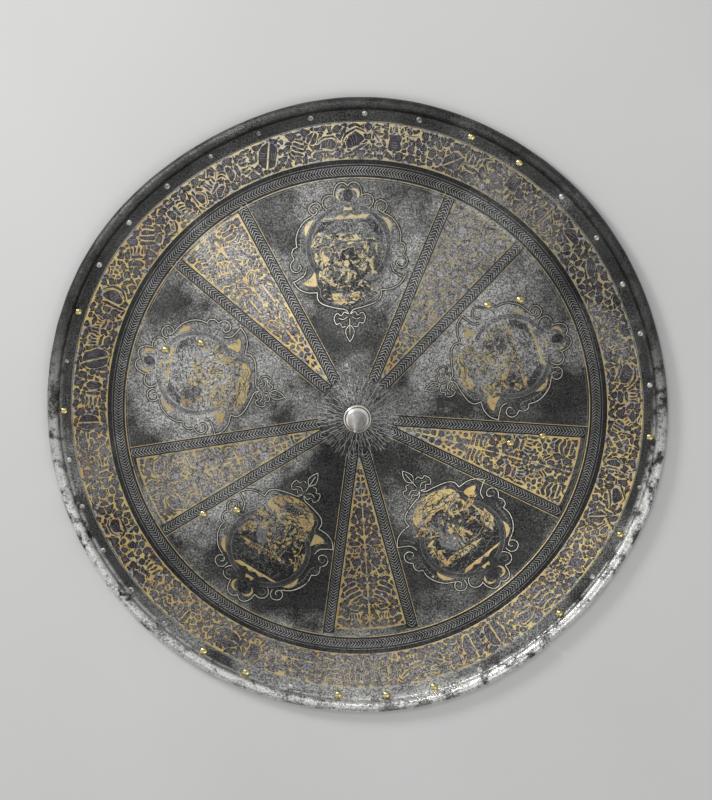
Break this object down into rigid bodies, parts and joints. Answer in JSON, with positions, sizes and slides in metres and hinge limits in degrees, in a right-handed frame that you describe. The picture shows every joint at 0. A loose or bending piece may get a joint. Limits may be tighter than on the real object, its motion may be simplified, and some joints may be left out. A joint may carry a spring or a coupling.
{
  "type": "buckler shield",
  "caption": "Round steel buckler with a low conical plate, flat riveted flange, rolled rim, central spike, etched and gilt ornament, and leather arm and hand straps behind.",
  "frame": {"origin": "centre of the bounding box at its base, on the plane that the rolled rim rests on, under the spike", "axes": "+Z out of the face, along the spike; +Y towards the top of the decoration, as worn; +X to the right seen from the front"},
  "size_m": [0.5706, 0.5718, 0.1484],
  "materials": {
    "etched_steel": "darkened forged steel, etched, with worn gilding",
    "bright_steel": "bright filed steel",
    "rivet_brass": "polished brass, tarnished at the edges",
    "rivet_steel": "worn steel",
    "strap_leather": "old dark brown leather"
  },
  "bodies": {
    "root": {"arm_strap": "strap_leather", "arm_strap_rivet_1": "rivet_brass", "arm_strap_rivet_2": "rivet_brass", "arm_strap_rivet_3": "rivet_brass", "arm_strap_rivet_4": "rivet_brass", "hand_strap": "strap_leather", "hand_strap_rivet_1": "rivet_brass", "hand_strap_rivet_2": "rivet_brass", "hand_strap_rivet_3": "rivet_brass", "hand_strap_rivet_4": "rivet_brass", "rim_rivet_01": "rivet_steel", "rim_rivet_02": "rivet_steel", "rim_rivet_03": "rivet_steel", "rim_rivet_04": "rivet_steel", "rim_rivet_05": "rivet_steel", "rim_rivet_06": "rivet_brass", "rim_rivet_07": "rivet_brass", "rim_rivet_08": "rivet_steel", "rim_rivet_09": "rivet_steel", "rim_rivet_10": "rivet_steel", "rim_rivet_11": "rivet_steel", "rim_rivet_12": "rivet_steel", "rim_rivet_13": "rivet_steel", "rim_rivet_14": "rivet_steel", "rim_rivet_15": "rivet_steel", "rim_rivet_16": "rivet_brass", "rim_rivet_17": "rivet_steel", "rim_rivet_18": "rivet_brass", "rim_rivet_19": "rivet_steel", "rim_rivet_20": "rivet_steel", "rim_rivet_21": "rivet_steel", "rim_rivet_22": "rivet_steel", "rim_rivet_23": "rivet_steel", "rim_rivet_24": "rivet_brass", "rim_rivet_25": "rivet_brass", "rim_rivet_26": "rivet_steel", "rim_rivet_27": "rivet_brass", "rim_rivet_28": "rivet_brass", "rim_rivet_29": "rivet_brass", "rim_rivet_30": "rivet_steel", "rim_rivet_31": "rivet_steel", "rim_rivet_32": "rivet_brass", "rim_rivet_33": "rivet_steel", "rim_rivet_34": "rivet_brass", "rim_rivet_35": "rivet_steel", "rim_rivet_36": "rivet_brass", "shield_plate": "etched_steel", "spike": "bright_steel"}
  },
  "joints": []
}
